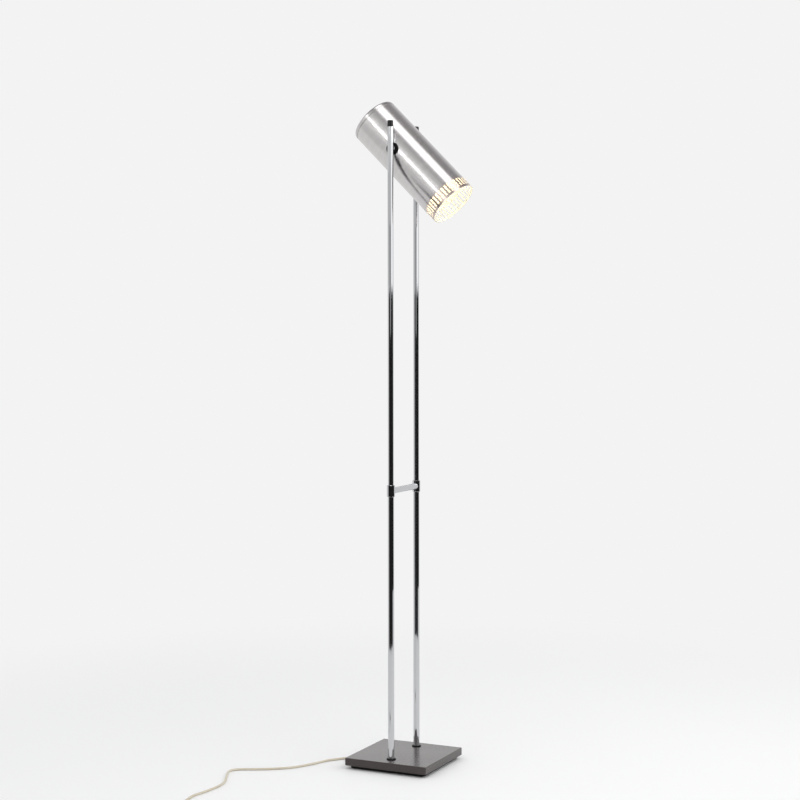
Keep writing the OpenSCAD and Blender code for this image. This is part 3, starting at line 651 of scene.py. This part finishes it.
tube_route = [
    (0, 66.75, 900), (0, 66.75, 1000), (0, 66.75, 1200), (0, 66.75, 1300), (0, 66.75, 1345),
    (0, 66.75, 1366), (0, 66.75, 1376), (0, 66.5, 1381), (0, 65.3, 1384.7), (0, 62.8, 1386.6),
    (0, 59.5, 1387), (0, 54, 1387), (0, 44, 1387),
]
curly_low, curly_high = 0.040, 0.900
curls = 48
curl_r = 0.0027    # of the centre line
tube_y = 0.06675
points_per_curl = 16
rings_per_curl = 14
curly_sides = 10


def curly_line():
    """Points of a helix up the back tube, whose radius grows from nothing over the first and last curl."""
    share = np.linspace(0, 1, curls * points_per_curl + 1)
    grown = np.clip(np.minimum(share, 1 - share) * curls, 0, 1)
    radius = curl_r * grown * grown * (3 - 2 * grown)
    turn = 2 * np.pi * curls * share
    return np.stack([
        radius * np.cos(turn), tube_y + radius * np.sin(turn), curly_low + (curly_high - curly_low) * share,
    ], axis=1)


draw_lead("tube_lead", tube_route, lead_d, (1, 0, 0), "mast")
curly = curly_line()
curly_length = np.linalg.norm(np.diff(curly, axis=0), axis=1).sum()
curly_rings = np.linspace(0, curly_length, curls * rings_per_curl)
curly_radius = np.full(len(curly_rings), lead_d / 2)
curly_grid = carried_profile(curly, curly_rings, curly_radius, curly_sides, (1, 0, 0))
curly_lead = surface_mesh("coiled_lead_flex", curly_grid, closed_rings=False)
curly_lead.data.materials.append(gold_flex)
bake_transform(curly_lead)
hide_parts("coiled_lead")

# ---------------------------------------------------------------------------
# Shade: shell and lid
# Spun and turned aluminium, brushed round its axis and lacquered. The shell is
# slotted round its mouth and enamelled white inside, and the lid is pressed in.
# ---------------------------------------------------------------------------

pivot_z = 1.387
shade_turn = math.radians(135)      # from +Z to the shade's own axis, about Y
shade_axis = (math.sin(shade_turn), 0, math.cos(shade_turn))
shade_skin_r = 0.056
skin_t = 0.00012       # the bare metal outside the enamel reaches this deep
slots_from = 0.1465    # the slots' upper ends, along the axis from the pivot
# Painted lamplight: from just above the slots to the mouth, the outside of the shell is tinted warm as if lit
# by the bulb.
painted_glow_start, painted_glow_end = slots_from - 0.006, slots_from + 0.004

# Lathe lines: fine streaks round an axis, from the place along it plus the distance from it.
lathe_lines, taken, given = new_effect(
    "lathe_lines",
    [("Vector", "Vector", None), ("Density", "Float", 2200.0), ("Broad Density", "Float", 120.0)],
    [("Fine", "Float"), ("Broad", "Float"), ("Radius", "Float")],
)
lathe = lathe_lines.nodes
split = add_node(lathe, "SeparateXYZ")
flat = add_node(lathe, "CombineXYZ")
radius_node = add_node(lathe, "VectorMath", operation="LENGTH")
run = add_node(lathe, "Math", operation="ADD")
round_way = add_node(lathe, "VectorMath", operation="NORMALIZE")
round_parts = add_node(lathe, "SeparateXYZ")
lathe_links = [
    (taken.outputs["Vector"], split.inputs["Vector"]), (split.outputs["X"], flat.inputs["X"]),
    (split.outputs["Y"], flat.inputs["Y"]), (flat.outputs["Vector"], radius_node.inputs[0]),
    (split.outputs["Z"], run.inputs[0]), (radius_node.outputs["Value"], run.inputs[1]),
    (flat.outputs["Vector"], round_way.inputs[0]), (radius_node.outputs["Value"], given.inputs["Radius"]),
    (round_way.outputs["Vector"], round_parts.inputs["Vector"]),
]
for density, output, detail in (("Density", "Fine", 3.0), ("Broad Density", "Broad", 2.0)):
    height = add_node(lathe, "Math", operation="MULTIPLY")
    spot = add_node(lathe, "CombineXYZ")
    lines = add_node(lathe, "TexNoise", scale=1.0, detail=detail, roughness=0.6)
    lathe_links += [
        (run.outputs["Value"], height.inputs[0]), (taken.outputs[density], height.inputs[1]),
        (height.outputs["Value"], spot.inputs["Z"]), (round_parts.outputs["X"], spot.inputs["X"]),
        (round_parts.outputs["Y"], spot.inputs["Y"]), (spot.outputs["Vector"], lines.inputs["Vector"]),
        (lines.outputs["Fac"], given.inputs[output]),
    ]
for source, target in lathe_links:
    lathe_lines.links.new(source, target)


def spun(name, enamelled, tone):
    """Brushed aluminium, its lines and stretched gloss round the shade's axis, with white enamel inside and
    painted warm lamplight on the outside round the slots.
    """
    material, nodes, link, shader = new_finish(name, (0.60, 0.592, 0.583, 1), 0.22, 1.0)
    shader.inputs["Anisotropic"].default_value = 0.9
    place = add_node(nodes, "TexCoord")
    own_axes = add_node(nodes, "Mapping", vector_type="TEXTURE", location=(0, 0, pivot_z))
    own_axes.inputs["Rotation"].default_value = (0, shade_turn, 0)
    turned = add_node(nodes, "Group", node_tree=lathe_lines)
    link(place.outputs["Object"], own_axes.inputs["Vector"])
    link(own_axes.outputs["Vector"], turned.inputs["Vector"])

    facing = add_node(nodes, "NewGeometry")
    grain_way = add_node(nodes, "VectorMath", operation="CROSS_PRODUCT")
    grain_way.inputs[1].default_value = shade_axis
    link(facing.outputs["Normal"], grain_way.inputs[0])
    link(grain_way.outputs["Vector"], shader.inputs["Tangent"])

    inside = add_node(nodes, "Math", operation="LESS_THAN")
    inside.inputs[1].default_value = shade_skin_r - skin_t if enamelled else 0
    link(turned.outputs["Radius"], inside.inputs[0])
    bare = add_node(nodes, "Math", operation="SUBTRACT")
    bare.inputs[0].default_value = 1
    link(inside.outputs["Value"], bare.inputs[1])
    link(bare.outputs["Value"], shader.inputs["Metallic"])

    gloss = add_node(nodes, "MapRange", from_min=0.3, from_max=0.7, to_min=0.13, to_max=0.205)
    link(turned.outputs["Fine"], gloss.inputs["Value"])
    link(gloss.outputs["Result"], shader.inputs["Roughness"])
    shade_of_grey = add_node(nodes, "Mix", data_type="RGBA")
    shade_of_grey.inputs[6].default_value = (0.56 * tone, 0.544 * tone, 0.542 * tone, 1)
    shade_of_grey.inputs[7].default_value = (0.66 * tone, 0.641 * tone, 0.639 * tone, 1)
    link(turned.outputs["Broad"], shade_of_grey.inputs["Factor"])
    # Painted lamplight: the metal from just above the slots to the mouth is multiplied by a warm colour that
    # stands in for the bulb's glow.
    along_axis = add_node(nodes, "SeparateXYZ")
    painted_glow_share = add_node(nodes, "MapRange", from_min=painted_glow_start, from_max=painted_glow_end, to_max=0.9)
    link(own_axes.outputs["Vector"], along_axis.inputs["Vector"])
    link(along_axis.outputs["Z"], painted_glow_share.inputs["Value"])
    painted_glow_mix = add_node(nodes, "Mix", data_type="RGBA", blend_type="MULTIPLY")
    painted_glow_mix.inputs[7].default_value = (0.97, 0.84, 0.77, 1)
    link(painted_glow_share.outputs["Result"], painted_glow_mix.inputs["Factor"])
    link(shade_of_grey.outputs[2], painted_glow_mix.inputs[6])
    surface = add_node(nodes, "Mix", data_type="RGBA")
    surface.inputs[7].default_value = (0.87, 0.84, 0.76, 1)
    link(inside.outputs["Value"], surface.inputs["Factor"])
    link(painted_glow_mix.outputs[2], surface.inputs[6])
    link(surface.outputs[2], shader.inputs["Base Color"])
    emboss(nodes, link, shader, turned.outputs["Fine"], depth=0.000002, strength=0.35)
    return material


finish_with(spun("spun_shell", enamelled=True, tone=1.0), "shade_shell")
finish_with(spun("spun_lid", enamelled=False, tone=0.93), "shade_lid")

# ---------------------------------------------------------------------------
# Discs and spacers at the pivot
# Black plastic discs saddle the shell outside, and steel spacers do inside, so
# that the screws clamp the thin wall without crushing it.
# ---------------------------------------------------------------------------

finish_with(black_satin, "pivot_disc_front", "pivot_disc_back")
finish_with(steel, "saddle_spacers")

# ---------------------------------------------------------------------------
# Lampholder and its bracket
# A bent steel strap hangs from the pivot screws and carries a black moulded
# lampholder with a brass thread, wired by the lead from the hollow screw.
# ---------------------------------------------------------------------------

shade_route = [
    (0, 44, 0), (0, 40, -0.5), (1, 36.5, -4), (4, 34.5, -12), (10, 34.5, -26), (14, 35, -44),
    (16, 35, -62), (16, 33, -76), (14, 26, -87), (9, 15, -93), (3, 5, -93), (0, 0.6, -88.5),
    (0, 0, -84), (0, 0, -80),
]


def from_shade_axes(route):
    """A route in the shade's own axes, in millimetres, turned about Y and lifted to the pivot."""
    points = np.array(route, dtype=float)
    sine, cosine = math.sin(shade_turn), math.cos(shade_turn)
    return np.stack([
        points[:, 0] * cosine + points[:, 2] * sine,
        points[:, 1],
        pivot_z * 1000 - points[:, 0] * sine + points[:, 2] * cosine,
    ], axis=1)


shade_side = (math.cos(shade_turn), 0, -math.sin(shade_turn))
draw_lead("shade_lead", from_shade_axes(shade_route), lead_d, shade_side, "shade")
finish_with(steel, "holder_bracket", "holder_nut")
finish_with(brass, "holder_nipple", "thread_shell")
finish_with(black_moulding, "holder_cap", "holder_barrel")

# ---------------------------------------------------------------------------
# Bulb
# A round frosted bulb with a plated screw cap, lit warm white. The glass itself
# glows, and lights the enamel and the slots round it.
# ---------------------------------------------------------------------------

frosted, nodes, link, shader = new_finish("frosted_glass", (0.95, 0.93, 0.88, 1), 0.5)
shader.inputs["Emission Color"].default_value = (1.0, 0.84, 0.58, 1)
shader.inputs["Emission Strength"].default_value = 8.0
mark_finish(nodes, link, shader, scale=40.0, fine_scale=300.0, clean=0.45, marked=0.6)
finish_with(frosted, "bulb_glass")
finish_with(steel, "bulb_cap")

# ---------------------------------------------------------------------------
# Studio: floor and surroundings
# A pale floor that fades into a white surround. Round the camera stand dark and
# lit walls and a light card, which only the metal's reflections show.
# ---------------------------------------------------------------------------

surround = colour(243, 243, 243)
floor_near = (0.90, 0.90, 0.90, 1)
floor_r = 40
floor_sides = 96
floor_z = -0.0002
fade = (0.5, 2.0)    # metres from the lamp

floor_mesh = bpy.data.meshes.new("floor")
around = 2 * np.pi * np.arange(floor_sides) / floor_sides
rim = np.stack([floor_r * np.cos(around), floor_r * np.sin(around), np.full(floor_sides, floor_z)], axis=1)
floor_mesh.from_pydata(rim.tolist(), [], [list(range(floor_sides))])
floor = bpy.data.objects.new("floor", floor_mesh)
scene.collection.objects.link(floor)

floor_finish, nodes, link, shader = new_finish("floor", floor_near, 0.6)
shader.inputs["Specular IOR Level"].default_value = 0.2
place = add_node(nodes, "TexCoord")
away = add_node(nodes, "VectorMath", operation="LENGTH")
faded = add_node(nodes, "MapRange", from_min=fade[0], from_max=fade[1], interpolation_type="SMOOTHSTEP")
ray = add_node(nodes, "LightPath")
seen = add_node(nodes, "Math", operation="MAXIMUM")
seen_through = add_node(nodes, "Math", operation="MAXIMUM")
share = add_node(nodes, "Math", operation="MULTIPLY")
glow = add_node(nodes, "Emission", color=surround)
blend = add_node(nodes, "MixShader")
link(place.outputs["Object"], away.inputs[0])
link(away.outputs["Value"], faded.inputs["Value"])
link(ray.outputs["Is Camera Ray"], seen.inputs[0])
link(ray.outputs["Is Glossy Ray"], seen.inputs[1])
link(seen.outputs["Value"], seen_through.inputs[0])
link(ray.outputs["Is Transmission Ray"], seen_through.inputs[1])
link(seen_through.outputs["Value"], share.inputs[0])
link(faded.outputs["Result"], share.inputs[1])
link(share.outputs["Value"], blend.inputs[0])
link(shader.outputs[0], blend.inputs[1])
link(glow.outputs[0], blend.inputs[2])
link(blend.outputs[0], nodes["Material Output"].inputs["Surface"])
floor_mesh.materials.append(floor_finish)

# The camera's side of the room, as the metal sees it: a dark apron and wall, lit walls above them,
# and a light card close to the lamp on the left.
camera_way = math.atan2(camera_place[1], camera_place[0])
wall_r = 4.6
gap_r = 4.55      # just in front of the dark wall
card_r = 1.0
dark_top = 1.17
wall_top = 3.0
wall_foot = 0.001
wall_columns = 60


def arc_wall(name, profile, sweep, tone):
    """Radius and height swept round the lamp, in degrees to the right of the camera; only gloss sees it."""
    angle = camera_way + np.radians(np.linspace(*sweep, wall_columns))
    outline = np.array(profile)
    sheet = np.stack([
        outline[:, 0, None] * np.cos(angle), outline[:, 0, None] * np.sin(angle),
        np.repeat(outline[:, 1, None], wall_columns, axis=1),
    ], axis=-1)
    cell = np.arange(len(outline) * wall_columns).reshape(-1, wall_columns)
    faces = np.stack([cell[:-1, :-1], cell[:-1, 1:], cell[1:, 1:], cell[1:, :-1]], axis=-1).reshape(-1, 4)
    mesh = bpy.data.meshes.new(name)
    mesh.from_pydata(sheet.reshape(-1, 3).tolist(), [], faces.tolist())
    wall = bpy.data.objects.new(name, mesh)
    scene.collection.objects.link(wall)
    cloth, _, _, shader = new_finish(name, (0.012, 0.012, 0.012, 1), 1.0)
    shader.inputs["Specular IOR Level"].default_value = 0
    shader.inputs["Emission Color"].default_value = (1, 1, 1, 1)
    shader.inputs["Emission Strength"].default_value = tone
    mesh.materials.append(cloth)
    for sight in ("camera", "diffuse", "transmission", "shadow", "volume_scatter"):
        setattr(wall, "visible_" + sight, False)


arc_wall("unlit_side", [(1.5, wall_foot), (wall_r, wall_foot), (wall_r, dark_top)], (-74, 66), tone=0.01)
arc_wall("unlit_right", [(2.6, wall_foot), (wall_r, wall_foot), (wall_r, dark_top)], (66, 108), tone=0.01)
arc_wall("lit_gap", [(gap_r, 0.96), (gap_r, dark_top)], (-18, 14), tone=0.40)
arc_wall("grey_wall", [(wall_r, dark_top), (wall_r, 1.50)], (-50, 18), tone=0.45)
arc_wall("light_grey_wall", [(wall_r, 1.50), (wall_r, 1.80)], (-50, 18), tone=0.72)
arc_wall("pale_wall", [(wall_r, 1.80), (wall_r, wall_top)], (-50, 18), tone=0.85)
arc_wall("bright_wall", [(wall_r, 1.20), (wall_r, wall_top)], (22, 96), tone=1.5)
arc_wall("light_card", [(card_r, 1.11), (card_r, 1.42)], (-86, -50), tone=0.70)

# The surround: white to the eye, dimmer towards the ceiling in gloss, and even for soft light.
soft_level = 0.775
dims_from, dims_to = 0.35, 0.90    # the rise of a direction, 0 level and 1 straight up
world = bpy.data.worlds.new("surround")
world.use_nodes = True
scene.world = world
nodes, link = world.node_tree.nodes, world.node_tree.links.new
soft_light = nodes["Background"]
soft_light.inputs["Color"].default_value = (0.99, 0.995, 1.0, 1)
soft_light.inputs["Strength"].default_value = soft_level
place = add_node(nodes, "TexCoord")
apart = add_node(nodes, "SeparateXYZ")
rise = add_node(nodes, "MapRange", from_min=dims_from, from_max=dims_to, interpolation_type="SMOOTHSTEP")
walls = add_node(nodes, "Mix", data_type="RGBA")
walls.inputs[6].default_value = surround
walls.inputs[7].default_value = (0.30, 0.288, 0.295, 1)
in_gloss = add_node(nodes, "Background")
to_eye = add_node(nodes, "Background", color=surround)
ray = add_node(nodes, "LightPath")
sharp = add_node(nodes, "Math", operation="MAXIMUM")
first = add_node(nodes, "MixShader")
second = add_node(nodes, "MixShader")
link(place.outputs["Generated"], apart.inputs["Vector"])
link(apart.outputs["Z"], rise.inputs["Value"])
link(rise.outputs["Result"], walls.inputs["Factor"])
link(walls.outputs[2], in_gloss.inputs["Color"])
link(ray.outputs["Is Glossy Ray"], sharp.inputs[0])
link(ray.outputs["Is Transmission Ray"], sharp.inputs[1])
link(sharp.outputs["Value"], first.inputs[0])
link(soft_light.outputs[0], first.inputs[1])
link(in_gloss.outputs[0], first.inputs[2])
link(ray.outputs["Is Camera Ray"], second.inputs[0])
link(first.outputs[0], second.inputs[1])
link(to_eye.outputs[0], second.inputs[2])
link(second.outputs[0], nodes["World Output"].inputs["Surface"])

# ---------------------------------------------------------------------------
# Studio: softboxes
# A large one overhead to the right, which draws the shade's broad white band,
# a slim one to the left of the camera for the narrow band, and a side fill.
# ---------------------------------------------------------------------------

shade_centre = Vector((0, 0, pivot_z))
stem_middle = Vector((0, 0, 0.4))


def softbox(name, direction, distance, width, length, radiance, along, target=shade_centre):
    """A rectangular lamp facing its target, its length along a line; power = radiance * pi * area."""
    lamp = bpy.data.lights.new(name, "AREA")
    lamp.shape = "RECTANGLE"
    lamp.size = width
    lamp.size_y = length
    lamp.energy = radiance * math.pi * width * length
    obj = bpy.data.objects.new(name, lamp)
    way = Vector(direction).normalized()
    across = Vector(along).cross(way).normalized()
    length_way = way.cross(across)
    aim = Matrix((across, length_way, way)).transposed().to_4x4()
    obj.matrix_world = Matrix.Translation(target + way * distance) @ aim
    obj.visible_camera = False
    scene.collection.objects.link(obj)


softbox(
    "overhead_box", (0.360, -0.274, 0.892),
    distance=2.0, width=1.10, length=2.6, radiance=2.0, along=shade_axis,
)
softbox(
    "left_strip", (-0.315, -0.884, 0.349),
    distance=2.75, width=0.18, length=1.8, radiance=5.2, along=shade_axis,
)
softbox(
    "right_fill", (0.80, 0.25, 0.58),
    distance=3.6, width=2.0, length=1.6, radiance=2.8, along=(0, 0, 1), target=stem_middle,
)
